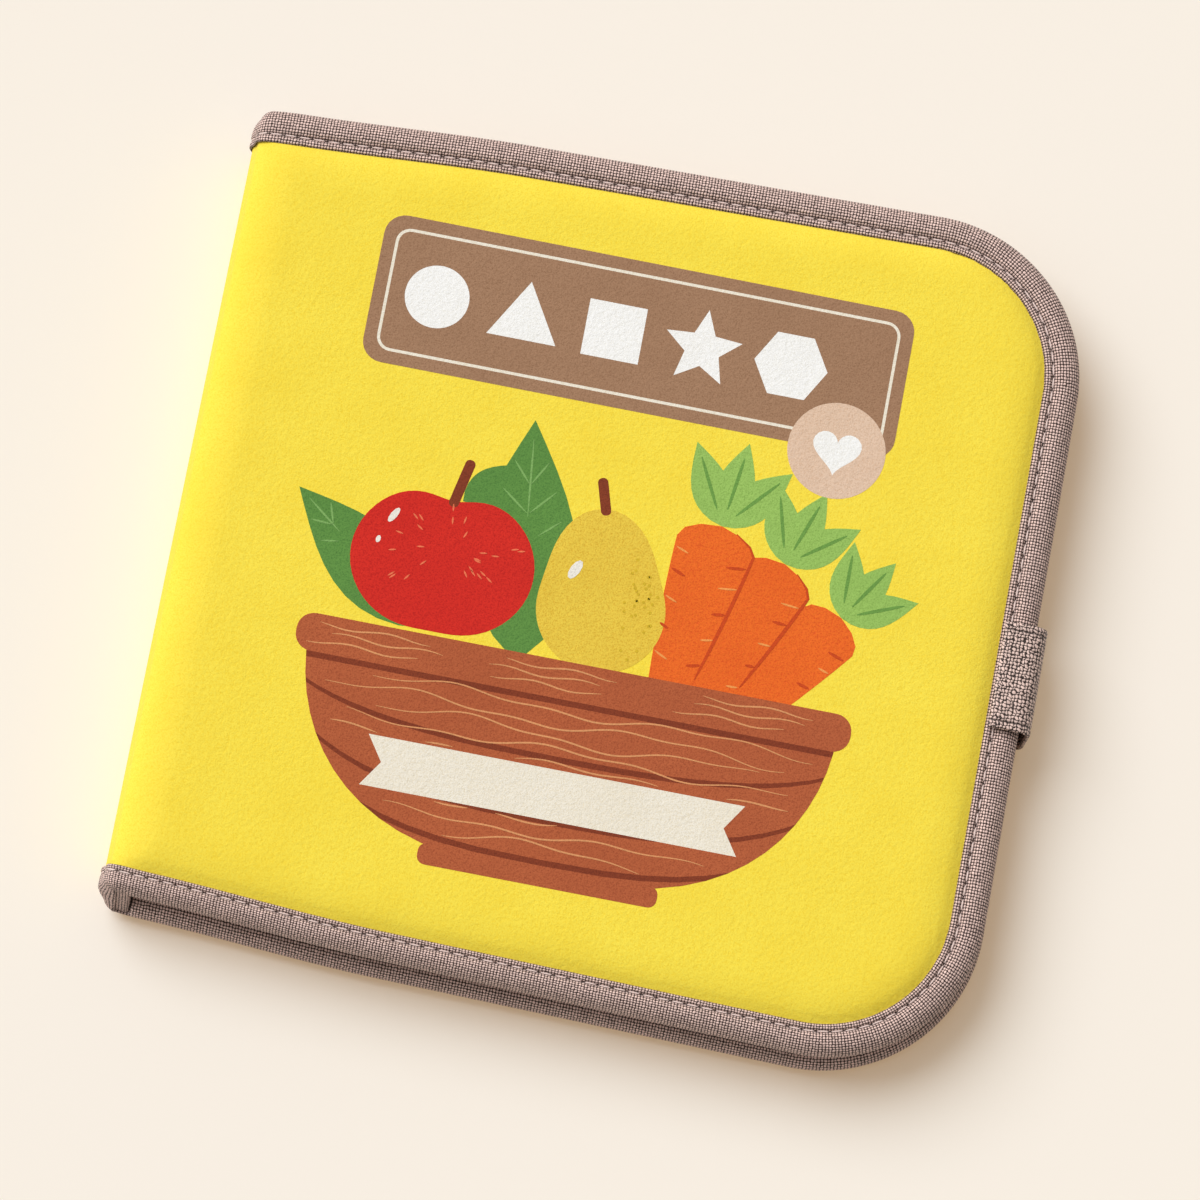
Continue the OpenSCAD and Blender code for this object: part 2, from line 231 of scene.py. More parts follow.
def mixColor(tree, factor, a, b, mode="MIX"):
    node = tree.nodes.new("ShaderNodeMix")
    node.data_type = "RGBA"
    node.blend_type = mode
    feed(tree, node.inputs["Factor"], factor)
    feed(tree, node.inputs["A"], a)
    feed(tree, node.inputs["B"], b)
    return node.outputs["Result"]


def rangeNode(tree, value, low, high, newLow=0.0, newHigh=1.0):
    node = tree.nodes.new("ShaderNodeMapRange")
    for socket, v in zip(node.inputs, (value, low, high, newLow, newHigh)):
        feed(tree, socket, v)
    return node.outputs[0]


def bumpNode(tree, height, strength, distance):
    node = tree.nodes.new("ShaderNodeBump")
    node.inputs["Strength"].default_value = strength
    node.inputs["Distance"].default_value = distance
    feed(tree, node.inputs["Height"], height)
    return node.outputs["Normal"]


# Pressed felt: matted fibres, soft lumps and a fine grain
feltLook = {
    "fibre": 900,             # scales of the noises
    "grain": 2600,
    "lump": 55,
    "fibreHigh": 0.7,         # shares of the height
    "grainHigh": 0.35,
    "lumpHigh": 1.1,
    "tone": 0.3,              # shares of the darker colour
    "speck": 0.7,
    "depth": 0.35 * mm,
    "rough": 0.95,
    "sheen": 0.04,
}


def makeFeltGroup():
    tree, given, made = newGroup(
        "feltFibres", [("Point", "Vector", None)], [("Tone", "Float"), ("Grain", "Float"), ("Height", "Float")])
    point = given.outputs["Point"]
    fibre = noiseNode(tree, point, feltLook["fibre"], 4, 0.65)
    grain = noiseNode(tree, point, feltLook["grain"], 2, 0.7)
    lump = noiseNode(tree, point, feltLook["lump"], 3, 0.5)
    tree.links.new(rangeNode(tree, lump, 0.3, 0.7), made.inputs["Tone"])
    tree.links.new(rangeNode(tree, grain, 0.3, 0.7), made.inputs["Grain"])
    height = mathNode(tree, "MULTIPLY", grain, feltLook["grainHigh"])
    height = mathNode(tree, "MULTIPLY_ADD", fibre, feltLook["fibreHigh"], height)
    tree.links.new(mathNode(tree, "MULTIPLY_ADD", lump, feltLook["lumpHigh"], height), made.inputs["Height"])
    return tree


feltGroup = makeFeltGroup()


def objectPoint(tree):
    return tree.nodes.new("ShaderNodeTexCoord").outputs["Object"]


def makeFelt(name, color, darker, contrast=1.0, bump=0.75):
    mat, tree, shader = newMaterial(name, color, feltLook["rough"], feltLook["sheen"])
    group = tree.nodes.new("ShaderNodeGroup")
    group.node_tree = feltGroup
    feed(tree, group.inputs["Point"], objectPoint(tree))
    tone = mathNode(tree, "MULTIPLY", group.outputs["Tone"], feltLook["tone"])
    toned = mixColor(tree, tone, (*color, 1), (*darker, 1))
    speck = mathNode(tree, "MULTIPLY", rangeNode(tree, group.outputs["Grain"], 0.6, 0.1),
                     feltLook["speck"] * contrast)
    feed(tree, shader.inputs["Base Color"], mixColor(tree, speck, toned, (*darker, 1)))
    feed(tree, shader.inputs["Normal"], bumpNode(tree, group.outputs["Height"], bump, feltLook["depth"]))
    return mat


def shade(color, k):
    return tuple(c * k for c in color)


feltColors = {
    "yellow": (0.985, 0.79, 0.078),
    "lining": (0.86, 0.8, 0.68),
    "leaf": (0.9, 0.86, 0.77),
}
yellowFelt = makeFelt("yellowFelt", feltColors["yellow"], (0.9, 0.63, 0.03))
liningFelt = makeFelt("liningFelt", feltColors["lining"], shade(feltColors["lining"], 0.82))
leafFelt = makeFelt("leafFelt", feltColors["leaf"], shade(feltColors["leaf"], 0.85))


# Woven tape: light threads over dark gaps, on the cloth coordinates in mm
weaveLook = {
    "thread": 0.72,           # width of a thread
    "wander": 0.12,           # how unevenly the threads lie
    "wobble": 0.9,            # scales of the noises
    "fuzz": 1.1,
    "streak": 0.35,
    "fuzzHigh": 0.5,          # shares of the height
    "overHigh": 0.08,
    "gap": 0.22,              # height up to which it is dark, and from which it is light
    "top": 0.55,
    "streakDark": 0.25,       # shares of the darker colour
    # painted shade in the creases, as a share of a still darker colour
    "creaseShadeShare": 0.85,
    "depth": 0.12 * mm,
    "sheen": 0.1,
}


def makeWeaveGroup():
    tree, given, made = newGroup(
        "plainWeave",
        [("Cloth", "Vector", None), ("Thread", "Float", weaveLook["thread"]),
         ("Wander", "Float", weaveLook["wander"])],
        [("Light", "Float"), ("Height", "Float"), ("Streak", "Float")])
    cloth, thread = given.outputs["Cloth"], given.outputs["Thread"]
    wobble = tree.nodes.new("ShaderNodeTexNoise")
    feed(tree, wobble.inputs["Vector"], cloth)
    wobble.inputs["Scale"].default_value = weaveLook["wobble"]
    wobble.inputs["Detail"].default_value = 2
    parted = tree.nodes.new("ShaderNodeSeparateXYZ")
    feed(tree, parted.inputs[0], cloth)
    shift = mathNode(tree, "SUBTRACT", wobble.outputs["Fac"], 0.5)
    shift = mathNode(tree, "MULTIPLY", shift, given.outputs["Wander"])
    turn = mathNode(tree, "DIVIDE", math.pi, thread)
    waves, signs = [], []
    for axis in ("X", "Y"):
        moved = mathNode(tree, "ADD", parted.outputs[axis], mathNode(tree, "MULTIPLY", shift, 4.0))
        wave = mathNode(tree, "SINE", mathNode(tree, "MULTIPLY", moved, turn))
        signs.append(mathNode(tree, "SIGN", wave))
        waves.append(mathNode(tree, "ABSOLUTE", wave))
    over = mathNode(tree, "MULTIPLY", signs[0], signs[1])
    cross = mathNode(tree, "MULTIPLY", waves[0], waves[1])
    fuzz = noiseNode(tree, cloth, weaveLook["fuzz"], 2, 0.6)
    fuzz = mathNode(tree, "SUBTRACT", fuzz, 0.5)
    height = mathNode(tree, "MULTIPLY_ADD", fuzz, weaveLook["fuzzHigh"], cross)
    height = mathNode(tree, "MULTIPLY_ADD", over, weaveLook["overHigh"], height)
    tree.links.new(rangeNode(tree, height, weaveLook["gap"], weaveLook["top"]), made.inputs["Light"])
    tree.links.new(height, made.inputs["Height"])
    tree.links.new(noiseNode(tree, cloth, weaveLook["streak"], 3, 0.6), made.inputs["Streak"])
    return tree


weaveGroup = makeWeaveGroup()


def clothPoint(tree):
    return tree.nodes.new("ShaderNodeTexCoord").outputs["UV"]


def makeWoven(name, light, dark, thread, wander, bump, roughness=0.75):
    mat, tree, shader = newMaterial(name, light, roughness, weaveLook["sheen"])
    group = tree.nodes.new("ShaderNodeGroup")
    group.node_tree = weaveGroup
    feed(tree, group.inputs["Cloth"], clothPoint(tree))
    group.inputs["Thread"].default_value = thread
    group.inputs["Wander"].default_value = wander
    color = mixColor(tree, group.outputs["Light"], (*dark, 1), (*light, 1))
    streak = rangeNode(tree, group.outputs["Streak"], 0.35, 0.7)
    tone = mathNode(tree, "MULTIPLY", streak, weaveLook["streakDark"])
    color = mixColor(tree, tone, color, (*dark, 1))
    # painted shade: the colour is darkened along the creases, the tape's groove and lip and the tab's hem lines
    paintedCreaseShade = tree.nodes.new("ShaderNodeAttribute")
    paintedCreaseShade.attribute_name = "paintedCreaseShade"
    creaseShaded = mathNode(tree, "MULTIPLY", paintedCreaseShade.outputs["Fac"], weaveLook["creaseShadeShare"])
    color = mixColor(tree, creaseShaded, color, (*shade(dark, 0.6), 1))
    feed(tree, shader.inputs["Base Color"], color)
    feed(tree, shader.inputs["Normal"], bumpNode(tree, group.outputs["Height"], bump, weaveLook["depth"]))
    return mat


tapeCloth = makeWoven("tapeCloth", (0.97, 0.7, 0.62), (0.035, 0.016, 0.011),
                      weaveLook["thread"], weaveLook["wander"], 1.0)
tabCloth = makeWoven("tabCloth", (0.95, 0.7, 0.61), (0.03, 0.015, 0.011), 0.84, 0.36, 1.1, 0.5)
threadYarn, _, _ = newMaterial("threadYarn", (0.86, 0.68, 0.62), 0.6, 0.2)


# Ink printed on the felt keeps the felt's fibres
inks = {
    "print_label": ((0.4, 0.225, 0.13), (0.29, 0.15, 0.08)),
    "print_cream": ((0.9, 0.84, 0.72), (0.8, 0.7, 0.52)),
    "print_white": ((0.97, 0.96, 0.94), (0.86, 0.83, 0.76)),
    "print_badge": ((0.8, 0.585, 0.435), (0.68, 0.45, 0.3)),
    "print_bowl": ((0.5, 0.125, 0.045), (0.34, 0.07, 0.025)),
    "print_bowl_lines": ((0.26, 0.05, 0.018), (0.17, 0.03, 0.012)),
    "print_stalks": ((0.26, 0.05, 0.018), (0.17, 0.03, 0.012)),
    "print_apple": ((0.72, 0.028, 0.016), (0.5, 0.012, 0.01)),
    "print_pear": ((0.86, 0.62, 0.07), (0.7, 0.42, 0.03)),
    "print_carrots": ((0.9, 0.165, 0.018), (0.72, 0.09, 0.012)),
    "print_dark_leaves": ((0.13, 0.3, 0.06), (0.075, 0.2, 0.04)),
    "print_light_leaves": ((0.35, 0.57, 0.13), (0.24, 0.42, 0.08)),
}
fastener = makeFelt("fastener", (0.3, 0.22, 0.19), (0.17, 0.12, 0.1), 1.5, 1.0)
for node in ("hook_patch", "loop_patch"):
    frame["nodes"][node].data.materials.clear()
    frame["nodes"][node].data.materials.append(fastener)
for node, (color, darker) in inks.items():
    ink = makeFelt(node.replace("print", "ink"), color, darker, 1.3)
    frame["nodes"][node].data.materials.clear()
    frame["nodes"][node].data.materials.append(ink)
print("materials ready")


# Felt skins: one on each cover, turned round the fold as far as the middle of the spine
skin = {
    "tuck": 1.2 * mm,         # felt under the tape
    "crownW": 10 * mm,        # slope from the tape to the flat
    "foldSlope": 8.5 * mm,    # from the fold to the flat
    "lift": {"front": 0.16 * mm, "back": 0.0},
    "crownPower": 2.2,        # how soon the slope levels out
    "thick": 1.4 * mm,
    "turnStep": 0.8 * mm,     # distance between the lines where it bends: round the fold,
    "edgeStep": 1.4 * mm,     # beside the edges
    "flatStep": 6 * mm,       # and on the flat
    "edgeBand": 2 * mm,       # how far the edge steps go past the round corner
}


def makeSkin(side):
    top = crownH + skin["lift"][side]
    x1 = foreX - book["tapeW"] + skin["tuck"]
    y1 = headY - book["tapeW"] + skin["tuck"]
    r1 = book["cornerR"] - book["tapeW"] + skin["tuck"]
    flatX = foldX + skin["foldSlope"]
    reachA = skin["foldSlope"] + beadR
    quarter = math.pi / 2 * math.sqrt((reachA ** 2 + (beadR + top) ** 2) / 2)
    wrap = quarter + spineHalf

    def rise(inset):
        t = max(0.0, min(1.0, (inset - skin["tuck"]) / skin["crownW"]))
        return top * math.sqrt(max(0.0, 1 - (1 - t) ** skin["crownPower"]))

    def bend(v):
        x, y = v.co.x, v.co.y
        qx, qy = x - (x1 - r1), abs(y) - (y1 - r1)
        inset = r1 - math.hypot(qx, qy) if qx > 0 and qy > 0 else min(x1 - x, y1 - abs(y))
        up = rise(inset)
        if x >= flatX:
            v.co = onCover(side, x, y, beadR + up)
            return
        a = beadR + (reachA - beadR) * up / top
        b = beadR + up
        centreX = foldX - beadR + a
        t = flatX - x
        if t <= flatX - centreX:
            v.co = onCover(side, x, y, b)
            return
        t -= flatX - centreX
        arc = math.pi / 2 * math.sqrt((a * a + b * b) / 2)
        if t < arc:
            turn = math.pi / 2 * t / arc
            v.co = onCover(side, centreX - a * math.sin(turn), y, b * math.cos(turn))
            return
        d = spineHalf * (t - arc) / (wrap - (flatX - centreX) - arc)
        v.co = onCover(side, foldX - beadR - spineOut(d), y, -d)

    bm = bmesh.new()
    x0 = flatX - wrap
    roundCornered(bm, x0, x1, y1, r1, 0)
    band = r1 + skin["edgeBand"]
    edge, flat = skin["edgeStep"], skin["flatStep"]
    cutAcross(bm, 0, steps(x0, flatX, skin["turnStep"])[1:] + steps(flatX, x1 - band, flat)[1:]
              + steps(x1 - band, x1, edge)[1:-1])
    cutAcross(bm, 1, steps(-y1, band - y1, edge)[1:] + steps(band - y1, y1 - band, flat)[1:]
              + steps(y1 - band, y1, edge)[1:-1])
    for v in bm.verts:
        bend(v)
    piece = addPiece(side + "FeltSkin", bm, yellowFelt)
    faceOut(piece, Vector((0, 0, sides[side]["out"])))
    wall = piece.modifiers.new("wall", "SOLIDIFY")
    wall.thickness = skin["thick"]
    wall.offset = -1
    return piece


feltSkins = {side: makeSkin(side) for side in sides}
print("felt skins made")


# Binding tape, folded round the edge of each cover and sewn through
tape = {
    "edgeReach": 5.6 * mm,    # how far in the rounded edge goes
    "square": 2.25,           # how square the folded edge is
    "endReach": 5.2 * mm,     # the same at the spine, where it is rounder
    "endSquare": 2.5,
    "endFrom": 7 * mm,        # where its corner starts to round off, from the fold
    "endRound": 1.8 * mm,
    "puff": 0.45 * mm,
    # how much further in the front cover's tape ends than the back's
    "stepFore": 0.3 * mm,
    "stepTail": 1.5 * mm,
    "stepSpine": 2.8 * mm,
    "backFore": 0.7 * mm,     # how far the back's reaches out beyond the fore edge near the tail
    "stitchIn": 2.05 * mm,    # stitch line, from the inner lip
    "groove": 0.62 * mm,
    # groove and curled lip: distance past the stitch line and height over the tape, in mm
    "lip": [(-0.32, -0.22), (-0.14, -0.52), (0, -0.62), (0.16, -0.5), (0.34, -0.12), (0.8, 0.12), (1.3, 0.16),
            (1.75, 0.02), (2.05, -0.3), (2.12, -0.7)],
    "proud": 0.1 * mm,        # height over the solid's tape
    "across": 11,             # points round the folded edge
    "step": 1.5 * mm,
    "spineStep": 1.3 * mm,
    "cut": 0.02 * mm,         # half the length over which its inner half starts, beside the spine
    "turnFrom": 9 * mm,       # where it starts to take its form round the spine, from the fold
    "foreReach": 110 * mm,    # over which the fore edge steps in or out, from the tail corner
    # painted shade in the creases: width of the groove's, and place past the stitch line and width of the lip's
    "grooveShade": 0.22 * mm,
    "lipShadeAt": 2.15 * mm,
    "lipShade": 0.2 * mm,
}


def tapeProfile():
    # half of the section: (distance in from the edge, height), from the edge to the inner lip
    spots = []
    for k in range(tape["across"] + 1):
        a = math.pi / 2 * k / tape["across"]
        power = 2 / tape["square"]
        spots.append((tape["edgeReach"] * (1 - math.cos(a) ** power),
                      (tapeR + tape["proud"]) * math.sin(a) ** power))
    line = book["tapeW"] - tape["stitchIn"]
    spots = [(u, r + tape["puff"] * math.sin(math.pi * min(1, u / line)) ** 0.8) for u, r in spots]
    for u, r in tape["lip"]:
        spots.append((line + u * mm, tapeR + r * mm))
    return spots


def tapeStations():
    # the way along the tape, from the middle of the spine at the tail to the same at the head
    r = book["cornerR"]
    runEnd = foreX - r
    corner = math.pi / 2 * (r - book["tapeW"] / 2)
    halfWay = [("spine", d) for d in steps(spineHalf, 0, tape["spineStep"])[:-1]]
    halfWay += [("fold", a) for a in steps(math.pi / 2, 0, math.pi / 16)[:-1]]
    nearFold = foldX + tapeR + foldGap
    halfWay += [("run", x) for x in steps(foldX, nearFold - tape["cut"], tape["step"])]
    halfWay += [("run", x) for x in steps(nearFold + tape["cut"], runEnd, tape["step"])[:-1]]
    halfWay += [("corner", a) for a in steps(0, math.pi / 2, tape["step"] / corner * math.pi / 2)[:-1]]
    whole = [(kind, p, -1) for kind, p in halfWay]
    whole += [("fore", y, 1) for y in steps(r - headY, headY - r, tape["step"])]
    return whole + [(kind, p, 1) for kind, p in reversed(halfWay)]


def turned(station):
    # 0 on the cover, 1 where the tape goes round the spine
    kind, p, end = station
    if kind == "run":
        return ease((foldX + tape["turnFrom"] - p) / tape["turnFrom"])
    return 1.0 if kind in ("fold", "spine") else 0.0


def stepIn(side, station):
    # the front cover lies a little further in at the tail and the fore edge, and the back one out
    kind, p, end = station
    front = side == "front"
    fore = tape["stepFore"] if front else -tape["backFore"]
    tail = tape["stepTail"] if front else 0.0
    if kind == "fore":
        return fore * ease((headY - book["cornerR"] - p) / tape["foreReach"])
    if end > 0:
        return 0.0
    if kind == "corner":
        return tail + (fore - tail) * p / (math.pi / 2)
    if kind == "spine":
        # both covers' tapes meet at half the height
        share = 0.5 * p / spineHalf
        return tape["stepSpine"] * (1 - share if front else share)
    if not front:
        return 0.0
    x = p if kind == "run" else foldX
    return tail + (tape["stepSpine"] - tail) * (straightX - x) / (straightX - foldX)


def tapePoint(side, station, inset, r):
    kind, p, end = station
    corner = book["cornerR"]
    inset = stepIn(side, station) + inset * (1 - stepIn(side, station) / book["tapeW"])
    k = turned(station)
    if k:
        power = tape["endSquare"]
        rounder = tapeR * max(0.0, 1 - (1 - min(1, inset / tape["endReach"])) ** power) ** (1 / power)
        flat = min(abs(r), rounder + 0.05 * mm)
        if inset > tape["endReach"]:
            flat += 0.5 * (rounder - flat)
        out = -r * math.sin(p) if kind == "fold" else -abs(r) if kind == "spine" else p - foldX
        past = max(0.0, min(0.97, (tape["endFrom"] - out) / (tape["endFrom"] + tapeR + spineBulge)))
        inset += tape["endRound"] * (1 - math.sqrt(1 - past ** 2)) * (1 - 0.6 * inset / book["tapeW"])
        r = math.copysign(abs(r) * (1 - k) + k * flat, r)
    if kind == "run":
        low = -2 * tapeR if p > foldX + tapeR + foldGap else 0
        return onCover(side, p, end * (headY - inset), max(low, r))
    if kind == "fore":
        return onCover(side, foreX - inset, p, r)
    if kind == "corner":
        reach = corner - inset
        x, y = foreX - corner + reach * math.sin(p), headY - corner + reach * math.cos(p)
        return onCover(side, x, end * y, r)
    r = max(0, r)
    if kind == "fold":
        return onCover(side, foldX - r * math.sin(p), end * (headY - inset), r * math.cos(p))
    return onCover(side, foldX - r - spineOut(p) * r / tapeR, end * (headY - inset), -p)


def stationLengths(side, stations):
    # cloth length along the middle of the tape
    length, lengths, last = 0, [], None
    for s in stations:
        spot = tapePoint(side, s, book["tapeW"] / 2, tapeR)
        length += (spot - last).length if last else 0
        lengths.append(length)
        last = spot
    return lengths


profile = tapeProfile()
stations = tapeStations()


def makeTape(side):
    lengths = stationLengths(side, stations)
    section = [(u, -r) for u, r in reversed(profile[1:])] + profile
    line = book["tapeW"] - tape["stitchIn"]
    # painted shade: darkest in the groove at the stitch line, a little less at the lip's curled edge
    dark = [math.exp(-((u - line) / tape["grooveShade"]) ** 2)
            + 0.8 * math.exp(-((u - line - tape["lipShadeAt"]) / tape["lipShade"]) ** 2) for u, r in section]
    reach = [0]
    for a, b in zip(section, section[1:]):
        reach.append(reach[-1] + math.hypot(b[0] - a[0], b[1] - a[1]))

    def place(i, j):
        u, r = section[j]
        return tapePoint(side, stations[i], u, r), (lengths[i] / mm, reach[j] / mm), min(1, dark[j])

    bm = bmesh.new()
    wovenGrid(bm, len(section) - 1, len(stations) - 1, place)
    piece = addPiece(side + "BindingTape", bm, tapeCloth)
    faceOut(piece)
    wall = piece.modifiers.new("wall", "SOLIDIFY")
    wall.thickness = tapeT - tape["proud"]
    wall.offset = -1
    return piece


tapes = {side: makeTape(side) for side in sides}
print("tapes made")


# Stitches, lying in the groove of the tape
stitch = {
    "pitch": 3.4 * mm,
    "length": 2.7 * mm,
    "wide": 0.2 * mm,
    "high": 0.2 * mm,
    "rise": 0.3 * mm,         # over the bottom of the groove
    "wander": 0.05 * mm,
    "innerFrom": 6 * mm,      # where the row inside the cover starts, from the fold
    "seed": 7,
}


def addStitch(bm, middle, along, up):
    size = Matrix.Diagonal((stitch["length"] / 2, stitch["wide"], stitch["high"], 1))
    side = up.cross(along).normalized()
    turn = Matrix((along, side, along.cross(side))).transposed().to_4x4()
    place = Matrix.Translation(middle) @ turn @ size @ Matrix.Rotation(math.pi / 2, 4, "Y")
    bmesh.ops.create_uvsphere(bm, u_segments=8, v_segments=6, radius=1, matrix=place)


def makeStitches(side, face):
    rng = random.Random(stitch["seed"] + face)
    lengths = stationLengths(side, stations)
    line = book["tapeW"] - tape["stitchIn"]
    height = face * (tapeR - tape["groove"] + stitch["rise"])
    spots = [tapePoint(side, s, line, height) for s in stations]
    ups = [(a - tapePoint(side, s, line, height - face * mm)).normalized() for a, s in zip(spots, stations)]
    bm = bmesh.new()
    at = stitch["pitch"] / 2
    i = 0
    while at < lengths[-1]:
        while i + 2 < len(lengths) and lengths[i + 1] < at:
            i += 1
        kind = stations[i][0]
        pastFold = kind == "run" and stations[i][1] > foldX + stitch["innerFrom"]
        if face > 0 or kind in ("fore", "corner") or pastFold:
            t = (at - lengths[i]) / (lengths[i + 1] - lengths[i])
            along = (spots[i + 1] - spots[i]).normalized()
            off = Vector((rng.uniform(-1, 1), rng.uniform(-1, 1), 0)) * stitch["wander"]
            addStitch(bm, spots[i].lerp(spots[i + 1], t) + off, along, ups[i])
        at += stitch["pitch"]
    name = side + ("OuterStitches" if face > 0 else "InnerStitches")
    return addPiece(name, bm, threadYarn)


stitchRows = {(side, face): makeStitches(side, face) for side in sides for face in (1, -1)}
print("stitches made")


# Flat felt inside: linings and leaves
inside = {
    "liningIn": 0.25 * mm,    # clearances of the linings, within the tape and beside the spine
    "liningPast": 0.1 * mm,
    "liningRound": 0.3 * mm,
    "bendFrom": 8 * mm,       # lines where the felt follows the drawn-in head and tail
    "bendStep": 9 * mm,
}


def bendAcross(bm):
    cutAcross(bm, 0, steps(foldX + inside["bendFrom"], straightX, inside["bendStep"]))


def feltPlate(bm, x0, x1, y1, r, z0, z1, rim):
    face = roundCornered(bm, x0, x1, y1, r, z0)
    grown = bmesh.ops.extrude_face_region(bm, geom=[face])
    raised = [v for v in grown["geom"] if isinstance(v, bmesh.types.BMVert)]
    bmesh.ops.translate(bm, verts=raised, vec=(0, 0, z1 - z0))
    rims = [e for e in bm.edges if e.is_valid and abs(e.verts[0].co.z - e.verts[1].co.z) < 1e-6
            and min(abs(e.verts[0].co.z - z) for z in (z0, z1)) < 1e-6 and len(e.link_faces) == 2]
    bmesh.ops.bevel(bm, geom=rims, offset=rim, offset_type="OFFSET", segments=3, profile=0.5,
                    affect="EDGES", material=-1, clamp_overlap=True)


def makeLining(side):
    bm = bmesh.new()
    inset = tapeT + inside["liningIn"] + (tape["stepSpine"] if side == "front" else 0)
    feltPlate(bm, foldX + tapeR + foldGap + inside["liningPast"], foreX - inset, headY - inset,
              book["cornerR"] - inset, -beadR, 0, inside["liningRound"])
    bendAcross(bm)
    for v in bm.verts:
        v.co = onCover(side, v.co.x, v.co.y, v.co.z)
    return addPiece(side + "LiningFelt", bm, liningFelt, False)


linings = {side: makeLining(side) for side in sides}

pageLow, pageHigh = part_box("page_block")
leaves = {
    "count": 3,
    "gap": 0.3 * mm,
    "cornerR": 28.5 * mm,
    "round": 0.6 * mm,
}


def makeLeaves():
    pitch = (pageHigh.z - pageLow.z + leaves["gap"]) / leaves["count"]
    bm = bmesh.new()
    for k in range(leaves["count"]):
        part = bmesh.new()
        z = pageLow.z + k * pitch
        feltPlate(part, pageLow.x, pageHigh.x, pageHigh.y, leaves["cornerR"], z, z + pitch - leaves["gap"],
                  leaves["round"])
        plate = bpy.data.meshes.new("leaf")
        bendAcross(part)
        for v in part.verts:
            v.co.y = pinched(v.co.x, v.co.y)
        part.to_mesh(plate)
        part.free()
        bm.from_mesh(plate)
        bpy.data.meshes.remove(plate)
    return addPiece("feltLeaves", bm, leafFelt, False)


leafBlock = makeLeaves()


# Spine: lining and tape on its inner side
def makeSpineBar(name, low, high, material, edge):
    bm = bmesh.new()
    bmesh.ops.create_cube(bm, size=1)
    for v in bm.verts:
        v.co = Vector([a if c < 0 else b for a, b, c in zip(low, high, v.co)])
    bmesh.ops.bevel(bm, geom=bm.edges[:], offset=edge, offset_type="OFFSET", segments=4, profile=0.5,
                    affect="EDGES", material=-1)
    uv = bm.loops.layers.uv.verify()
    for f in bm.faces:
        for loop in f.loops:
            x, y, z = loop.vert.co / mm
            loop[uv].uv = (y + x, z + x)
    return addPiece(name, bm, material)


spineIn = {
    "padEnds": 5 * mm,        # lining, short of head and tail
    "padEdge": 0.7 * mm,
    "padX": 1 * mm,           # how far it goes into the spine, from the fold
    "padPast": 1.5 * mm,      # and past the middle planes of the covers
    "tapeEnds": 0.35 * mm,    # tape, the same
    "tapeEdge": 0.9 * mm,
    "tapeX": 2 * mm,
    "tapePast": 2 * mm,
    "tapeRound": 0.4,         # share of the tapes' rounding at the spine
}
drawnY = headY - drawIn(foldX)
spinePad = makeSpineBar("spineLiningFelt",
                        (foldX - spineIn["padX"], spineIn["padEnds"] - drawnY, backFold.z - spineIn["padPast"]),
                        (foldX + beadR, drawnY - spineIn["padEnds"], frontFold.z + spineIn["padPast"]),
                        liningFelt, spineIn["padEdge"])
spineEnds = {}
for end, name in ((1, "head"), (-1, "tail")):
    y = sorted((end * (drawnY - spineIn["tapeEnds"]), end * (drawnY - book["tapeW"])))
    bar = makeSpineBar("spineTape_" + name,
                       (foldX - spineIn["tapeX"], y[0], backFold.z - spineIn["tapePast"]),
                       (foldX + tapeR, y[1], frontFold.z + spineIn["tapePast"]),
                       tapeCloth, spineIn["tapeEdge"])
    step = tape["stepSpine"] if end < 0 else 0
    for v in bar.data.vertices:
        if abs(v.co.y) > drawnY - book["tapeW"] / 2:
            up = max(0.0, min(1.0, (v.co.z - backFold.z) / (frontFold.z - backFold.z)))
            inSpine = ease((foldX + spineIn["tapeX"] - v.co.x) / (2 * spineIn["tapeX"]))
            v.co.y -= end * (tape["endRound"] * spineIn["tapeRound"] * inSpine + step * up)
    spineEnds[name] = bar
print("inside made")


# Closing tab of folded webbing, wrapped from under the back tape to the top of the front tape
tabLow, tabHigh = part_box("closing_tab")
tab = {
    "longer": 3.8 * mm,       # how much further it reaches towards the tail than its solid
    "bendR": 4 * mm,
    "thick": 1 * mm,
    "edge": 0.5 * mm,         # rounding of its long edges
    "hem": 1.9 * mm,          # sewn line, from the edge
    "hemWide": 0.25 * mm,
    "hemDeep": 0.4,           # share of the thickness
    "ends": (0.35, 0.8, 1),   # share of the thickness at the first stations from each end
    "step": 0.8 * mm,
    "turnStep": 0.16,
    # columns across the webbing, from its edge in mm
    "columns": [0, 0.06, 0.2, 0.5, 1.0, 1.45, 1.7, 1.9, 2.1, 2.35, 2.8, 4.2, 6.5, 9],
}


def tabPath():
    # middle line of the webbing in X and Z, with the way it faces
    half = tab["thick"] / 2
    r = tab["bendR"] - half
    x0, x1, z0, z1 = tabLow.x + half, tabHigh.x - half, tabLow.z + half, tabHigh.z - half
    spots = [(x, z0, -math.pi / 2) for x in steps(x0, x1 - r, tab["step"])[:-1]]
    spots += [(x1 - r + r * math.cos(a), z0 + r + r * math.sin(a), a)
              for a in steps(-math.pi / 2, 0, tab["turnStep"])]
    spots += [(x1, z, 0) for z in steps(z0 + r, z1 - r, tab["step"])[1:-1]]
    spots += [(x1 - r + r * math.cos(a), z1 - r + r * math.sin(a), a)
              for a in steps(0, math.pi / 2, tab["turnStep"])]
    spots += [(x, z1, math.pi / 2) for x in steps(x1 - r, x0, tab["step"])[1:]]
    return spots


